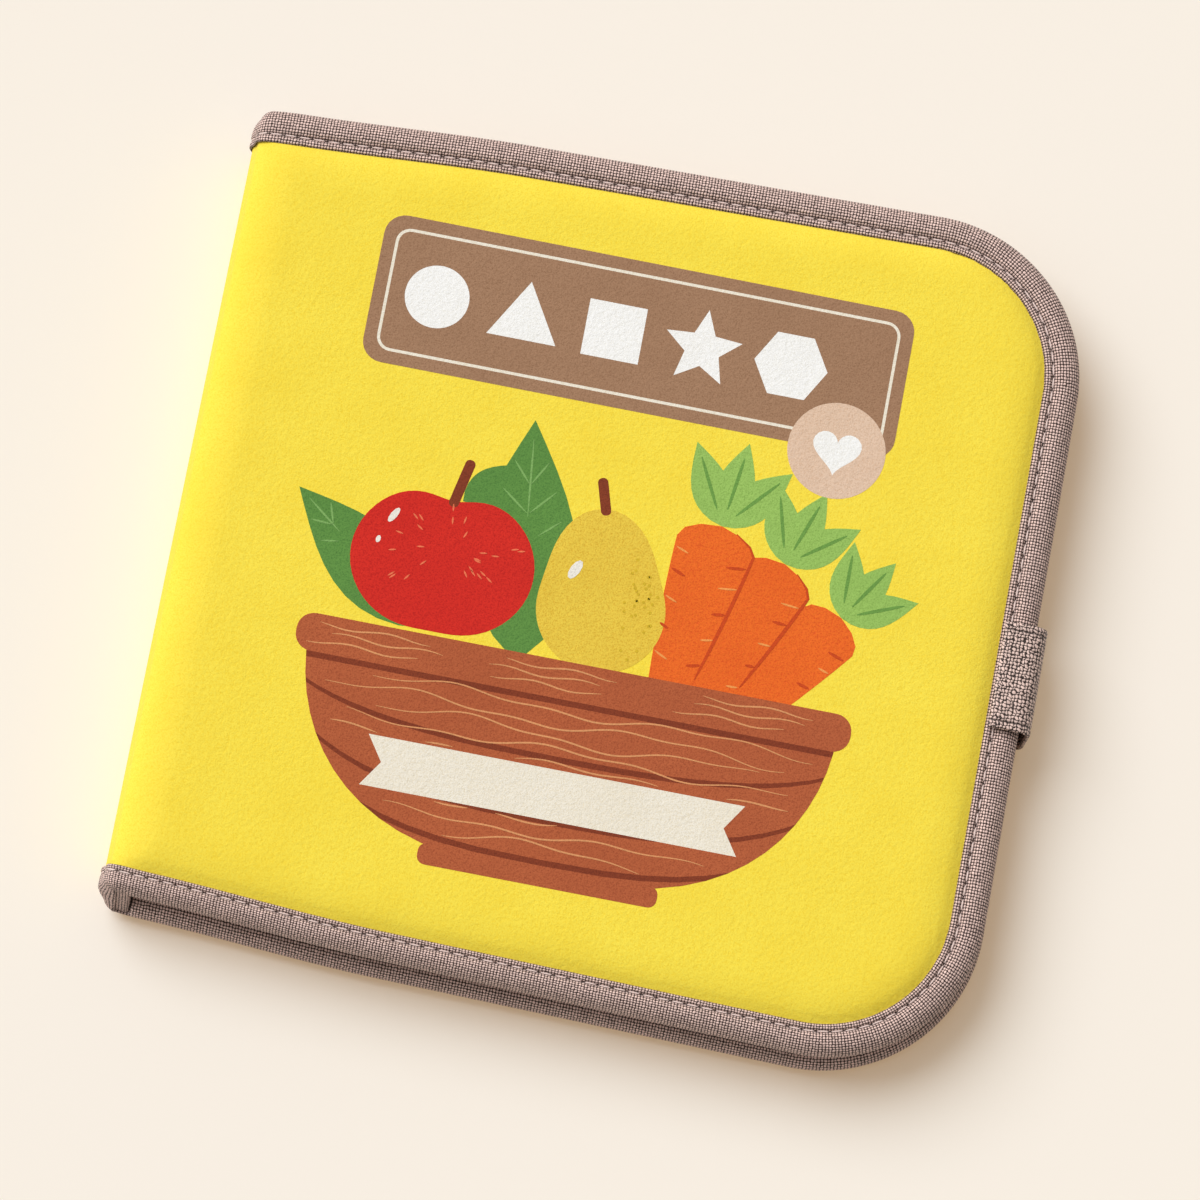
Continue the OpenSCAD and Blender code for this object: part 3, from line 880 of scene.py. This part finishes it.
def makeTab():
    path = tabPath()
    half = (tabHigh.y - tabLow.y + tab["longer"]) / 2
    middle = (tabHigh.y + tabLow.y - tab["longer"]) / 2
    lengths = [0]
    for a, b in zip(path, path[1:]):
        lengths.append(lengths[-1] + math.hypot(b[0] - a[0], b[1] - a[1]))

    columns = [c * mm - half for c in tab["columns"]]
    columns += [-y for y in reversed(columns)]
    section = [(y, 1) for y in columns] + [(y, -1) for y in reversed(columns[1:-1])]

    def place(i, j):
        x, z, facing = path[i]
        y, face = section[j % len(section)]
        depth = half - abs(y)
        up = tab["thick"] / 2 * math.sqrt(1 - (1 - min(1, depth / tab["edge"])) ** 2)
        hem = math.exp(-((depth - tab["hem"]) / tab["hemWide"]) ** 2)
        up *= face * (1 - tab["hemDeep"] * hem) * tab["ends"][min(2, i, len(path) - 1 - i)]
        spot = Vector((x + up * math.cos(facing), middle + y, z + up * math.sin(facing)))
        # the hem value also gives the painted shade along the sewn lines
        return spot, (y / mm, lengths[i] / mm), hem

    bm = bmesh.new()
    wovenGrid(bm, len(section), len(path) - 1, place, closed=True)
    bmesh.ops.holes_fill(bm, edges=[e for e in bm.edges if e.is_boundary], sides=0)
    return addPiece("closingTab", bm, tabCloth)


tabPiece = makeTab()
print("tab made")


# Fine strokes of ink over the printed fields, in the artwork's own millimetres
labelLow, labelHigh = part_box("print_label")
art = {
    "labelW": 126,
    "labelY": 58,             # middle of the label, over the middle of the artwork
    "lift": 0.04 * mm,        # real height of the strokes over the fields
    "apple": (-35, -4, 21),   # middle and radius
    "appleForm": (1.06, 1.12),
    "pear": (3, -8, 15),
    "pearForm": 1.28,
    "bowl": (-26, 62, 46),    # rim height, half width and depth
    "rimH": 5.2,
    "carrots": [(27, 17, -8, 1), (43, 11, -20, 0.94), (58, 1, -34, 0.88)],  # top, turn and size
    "carrot": (66, 19),       # length and width
    "fan": 34,                # degrees between the leaflets of a carrot's top
    "fanL": 1.1,              # their length, in carrot widths
    "darkLeaves": [(-14, -24, 6, 57.7, 24), (-36, -20, 52, 44, 18)],  # foot, turn, length and width
    "ribbon": (-53, 88, 12),  # middle height, width and height
    "seed": 5,
}
artScale = (labelHigh.x - labelLow.x) / (art["labelW"] * mm)
artX = (labelLow.x + labelHigh.x) / 2
artY = (labelLow.y + labelHigh.y) / 2 - art["labelY"] * artScale * mm
dice = random.Random(art["seed"])


def artSpot(x, y):
    return Vector((artX + x * artScale * mm, artY + y * artScale * mm, labelHigh.z + art["lift"]))


def addStroke(bm, line, width, ends=0.25):
    # a flat ribbon along the line, thinner at its ends
    spots = [artSpot(*p) for p in line]
    rows = []
    for k, p in enumerate(spots):
        along = (spots[min(k + 1, len(spots) - 1)] - spots[max(k - 1, 0)]).normalized()
        t = k / (len(spots) - 1)
        half = width * mm / 2 * (ends + (1 - ends) * math.sin(math.pi * t) ** 0.5)
        side = Vector((-along.y, along.x, 0)) * half
        rows.append((bm.verts.new(p + side), bm.verts.new(p - side)))
    for a, b in zip(rows, rows[1:]):
        bm.faces.new((a[0], a[1], b[1], b[0]))


def addDot(bm, x, y, width, height, turn=0.0):
    spots = []
    for k in range(10):
        a = 2 * math.pi * k / 10
        u, v = width / 2 * math.cos(a), height / 2 * math.sin(a)
        spots.append(bm.verts.new(artSpot(x + u * math.cos(turn) - v * math.sin(turn),
                                          y + u * math.sin(turn) + v * math.cos(turn))))
    bm.faces.new(spots)


def carrotSpot(carrot, side, t):
    x, y, angle, size = carrot
    length, width = art["carrot"]
    u = side * width / 2 * min(1, math.sqrt(t / 0.06)) * (1 - t ** 1.4) * size
    v = -length * t * size
    a = math.radians(angle)
    return x + u * math.cos(a) - v * math.sin(a), y + u * math.sin(a) + v * math.cos(a)


def overRim(p):
    return p[1] > art["bowl"][0] + art["rimH"]


def clearOfFruit(p):
    apple, pear = art["apple"], art["pear"]
    wide, low = art["appleForm"]
    inApple = math.hypot((p[0] - apple[0]) / wide, (p[1] - apple[1]) * low) < apple[2] + 0.6
    inPear = math.hypot(p[0] - pear[0], (p[1] - pear[1] - 3) / art["pearForm"]) < pear[2] + 0.8
    return not inApple and not inPear


def strokeWhere(bm, line, keep, width, least=3):
    # draws only the stretches of the line that keep() allows
    stretch = []
    for p in line + [None]:
        if p and keep(p):
            stretch.append(p)
            continue
        if len(stretch) >= least:
            addStroke(bm, stretch, width)
        stretch = []


def bowlGrain(bm):
    y0, r, depth = art["bowl"]
    ribbonY, ribbonW, ribbonH = art["ribbon"]

    def inWood(p):
        inRibbon = abs(p[1] - ribbonY) < ribbonH / 2 + 0.6 and abs(p[0]) < ribbonW / 2 + 0.5
        return not inRibbon and math.hypot(abs(p[0] / r) ** (1 / 0.7), (y0 - p[1]) / depth) < 0.93

    for row in range(11):
        level = y0 - 7 - 3.3 * row
        wave, shift = dice.uniform(0.5, 1.3), dice.uniform(0, 6)
        start, end = dice.uniform(-60, -42), dice.uniform(44, 60)
        line = [(x, level + wave * math.sin(x * 0.11 + shift) + 0.5 * math.sin(x * 0.27 + 2 * shift))
                for x in steps(start, end, 1.6)]
        strokeWhere(bm, line, inWood, 0.42, 5)
    for k in (-1.9, 0.3, 2.3):
        for start in (-58, -14, 26):
            x0 = start + dice.uniform(-6, 6)
            line = [(x0 + t, y0 + k + 0.5 * math.sin(t * 0.35 + k)) for t in range(0, 27, 2)]
            addStroke(bm, line, 0.4)


def appleStrokes(bm):
    # short flecks that run from the dimple at the top
    x0, y0, r = art["apple"]
    for k in range(26):
        a, q = dice.uniform(-2.6, 2.6), dice.uniform(0.3, 0.82)
        x, y = x0 + 1.5 + r * q * math.sin(a), y0 + r * 0.15 + r * q * 0.72 * math.cos(a)
        u, v = math.sin(a) * 0.9, math.cos(a) * 0.9
        line = [(x + u * t, y + v * t) for t in (-1, -0.3, 0.3, 1)]
        if all(overRim(p) for p in line):
            addStroke(bm, line, 0.42)


def carrotLines(bm, pale):
    for n, c in enumerate(art["carrots"]):
        if not pale and n < 2:
            addStroke(bm, [p for p in (carrotSpot(c, 1, t) for t in steps(0.01, 0.8, 0.03)) if overRim(p)], 0.9)
        for t in (0.12, 0.2, 0.3, 0.4, 0.5):
            side = 1 if (round(t * 10) + n) % 2 else -1
            if pale:
                side = -side
            width = 0.5 if pale else 0.75
            reach = dice.uniform(0.3, 0.55)
            line = []
            for q in steps(0.94, 0.94 - reach, 0.08):
                a, b = carrotSpot(c, side, t + 0.02 * (0.94 - q)), carrotSpot(c, -side, t)
                line.append((a[0] + (b[0] - a[0]) * (1 - q) / 2,
                             a[1] + (b[1] - a[1]) * (1 - q) / 2 - 1.2 * (0.94 - q)))
            line = [p for p in line if overRim(p)]
            if len(line) > 2 and (n == 0 or side > 0):
                addStroke(bm, line, width)


def leafVeins(bm, x, y, turn, length, width, sides=5):
    a = math.radians(turn)

    def spot(u, v):
        return x + u * math.cos(a) - v * math.sin(a), y + u * math.sin(a) + v * math.cos(a)

    lines = [[spot(0, v * length) for v in steps(0.12, 0.92, 0.08)]]
    for k in range(sides):
        v = 0.25 + 0.6 * k / sides
        half = width / 2 * math.sin(math.pi * (v + 0.08) ** 0.8) * 0.72
        for side in (1, -1):
            lines.append([spot(side * half * q, length * (v + 0.1 * q)) for q in (0.05, 0.35, 0.7, 1)])
    for line in lines:
        strokeWhere(bm, line, lambda p: overRim(p) and clearOfFruit(p), 0.5)


def lightTops(bm):
    for c in art["carrots"]:
        for fan in (-1, 0, 1):
            a = math.radians(c[2] + fan * art["fan"])
            size = art["carrot"][1] * art["fanL"] * c[3]
            line = [(c[0] - size * t * math.sin(a), c[1] + size * t * math.cos(a))
                    for t in steps(0.2, 0.82, 0.08)]
            addStroke(bm, line, 0.8)


def pearSpeckles(bm):
    x0, y0, r = art["pear"]
    for k in range(34):
        a, q = dice.uniform(-1.25, 1.1), math.sqrt(dice.uniform(0.12, 0.8))
        x, y = x0 + r * q * math.cos(a), y0 + r * q * math.sin(a) * 1.15
        if overRim((x, y)):
            addDot(bm, x, y, 0.75, 0.75)


def paleSpots(bm):
    x0, y0, r = art["apple"]
    addDot(bm, x0 - r * 0.62, y0 + r * 0.42, 1.6, 4.2, -0.5)
    addDot(bm, x0 - r * 0.74, y0 + r * 0.12, 1.1, 1.8, -0.2)
    x0, y0, r = art["pear"]
    addDot(bm, x0 - r * 0.5, y0 + r * 0.55, 2.4, 5.2, -0.45)


strokeSets = {
    "bowlGrain": (bowlGrain, (0.78, 0.34, 0.14), "ink_bowl"),
    "appleStrokes": (appleStrokes, (0.93, 0.2, 0.09), "ink_red"),
    "carrotShades": (lambda bm: carrotLines(bm, False), (0.66, 0.075, 0.012), "ink_orange"),
    "carrotLights": (lambda bm: carrotLines(bm, True), (0.96, 0.36, 0.09), "ink_orange"),
    "darkLeafVeins": (lambda bm: [leafVeins(bm, *leaf) for leaf in art["darkLeaves"]],
                      (0.24, 0.46, 0.13), "ink_dark_green"),
    "lightTopVeins": (lightTops, (0.17, 0.36, 0.07), "ink_light_green"),
    "pearSpeckles": (pearSpeckles, (0.74, 0.5, 0.03), "ink_pear"),
    "paleSpots": (paleSpots, (0.95, 0.9, 0.8), "ink_cream"),
}
for name, (draw, color, slot) in strokeSets.items():
    bm = bmesh.new()
    draw(bm)
    for f in bm.faces:
        f.normal_update()
        if f.normal.z < 0:
            f.normal_flip()
    mesh = bpy.data.meshes.new(name)
    bm.to_mesh(mesh)
    bm.free()
    mesh.materials.append(makeFelt("ink" + name[0].upper() + name[1:], color, shade(color, 0.72), 1.2))
    piece = bpy.data.objects.new(name, mesh)
    bpy.context.scene.collection.objects.link(piece)
    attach(piece, "front_cover")
print("ink strokes drawn")


# What each piece rides on and stands for. The skins, tapes and stitches only have their placing baked in and
# ride on no body
def blendOverFold(piece):
    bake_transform(piece)


for side, piece in feltSkins.items():
    blendOverFold(piece)
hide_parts("front_felt", "front_padding", "spine_felt")
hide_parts("back_felt", "back_padding")

for side, piece in tapes.items():
    blendOverFold(piece)
    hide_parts(side + "_tape")
for (side, face), piece in stitchRows.items():
    blendOverFold(piece)
for side, piece in linings.items():
    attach(piece, sides[side]["body"])
    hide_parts(side + "_lining")
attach(leafBlock, "back_cover")
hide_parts("page_block")
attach(spinePad, "spine")
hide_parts("spine_lining", "spine_padding")
for name, piece in spineEnds.items():
    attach(piece, "spine")
    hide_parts("spine_tape_" + name)
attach(tabPiece, "back_cover")
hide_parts("closing_tab")
print("pieces placed")


# Floor, light and camera
setting = {
    "floor": (0.705, 0.728, 0.72),
    "floorGlow": (0.25, 0.15, 0.06),
    "floorHalf": 3,
    "floorDrop": 0.1 * mm,    # the floor lies clear of the felt under the book
    "sun": 2.34,
    "sunColor": (0.98, 0.99, 1.0),
    "sunSize": 46,
    "sunWay": Vector((0.55, -0.39, -0.74)),
    "sky": (0.2, 0.19, 0.175),
    "window": (0.65, 0.66, 0.68),
    "windowPower": 2.0,
    "lens": 200.4,
    "turns": (("Z", -10.72), ("X", -13.11), ("Y", 1.16)),
    "shift": (1.95 * mm, 5.22 * mm),
    "distance": 1.538,
    "aim": Vector((0, 0, 20 * mm)),
}
floorMat, _, floorShader = newMaterial("paleFloor", setting["floor"], 0.9)
floorShader.inputs["Specular IOR Level"].default_value = 0
floorShader.inputs["Emission Color"].default_value = (*setting["floorGlow"], 1)
floorShader.inputs["Emission Strength"].default_value = 1
bm = bmesh.new()
bmesh.ops.create_grid(bm, x_segments=1, y_segments=1, size=setting["floorHalf"],
                      matrix=Matrix.Translation((0, 0, -setting["floorDrop"])))
floor = addPiece("floor", bm, floorMat, False)

sun = bpy.data.objects.new("sun", bpy.data.lights.new("sun", "SUN"))
sun.data.energy = setting["sun"]
sun.data.color = setting["sunColor"]
sun.data.angle = math.radians(setting["sunSize"])
sun.rotation_euler = setting["sunWay"].to_track_quat("-Z", "Y").to_euler()
bpy.context.scene.collection.objects.link(sun)

# A pale sky that is brighter towards the sun
world = bpy.data.worlds.new("softSky")
world.use_nodes = True
sky = world.node_tree
facing = sky.nodes.new("ShaderNodeVectorMath")
facing.operation = "DOT_PRODUCT"
feed(sky, facing.inputs[0], sky.nodes.new("ShaderNodeTexCoord").outputs["Generated"])
facing.inputs[1].default_value = -setting["sunWay"].normalized()
near = mathNode(sky, "POWER", mathNode(sky, "MAXIMUM", facing.outputs["Value"], 0.0), setting["windowPower"])
bright = [a + b for a, b in zip(setting["sky"], setting["window"])]
glow = mixColor(sky, near, (*setting["sky"], 1), (*bright, 1))
feed(sky, sky.nodes["Background"].inputs["Color"], glow)
bpy.context.scene.world = world

camera = bpy.data.objects.new("camera", bpy.data.cameras.new("camera"))
camera.data.lens = setting["lens"]
camera.data.sensor_width = 36
turn = Matrix.Identity(3)
for axis, angle in setting["turns"]:
    turn = turn @ Matrix.Rotation(math.radians(angle), 3, axis)
turn.transpose()
eye = Vector((-setting["shift"][0], -setting["shift"][1], setting["distance"]))
camera.matrix_world = Matrix.Translation(setting["aim"] + turn @ eye) @ turn.to_4x4()
bpy.context.scene.collection.objects.link(camera)
bpy.context.scene.camera = camera
bpy.context.scene.view_settings.view_transform = "Standard"
print("scene lit")
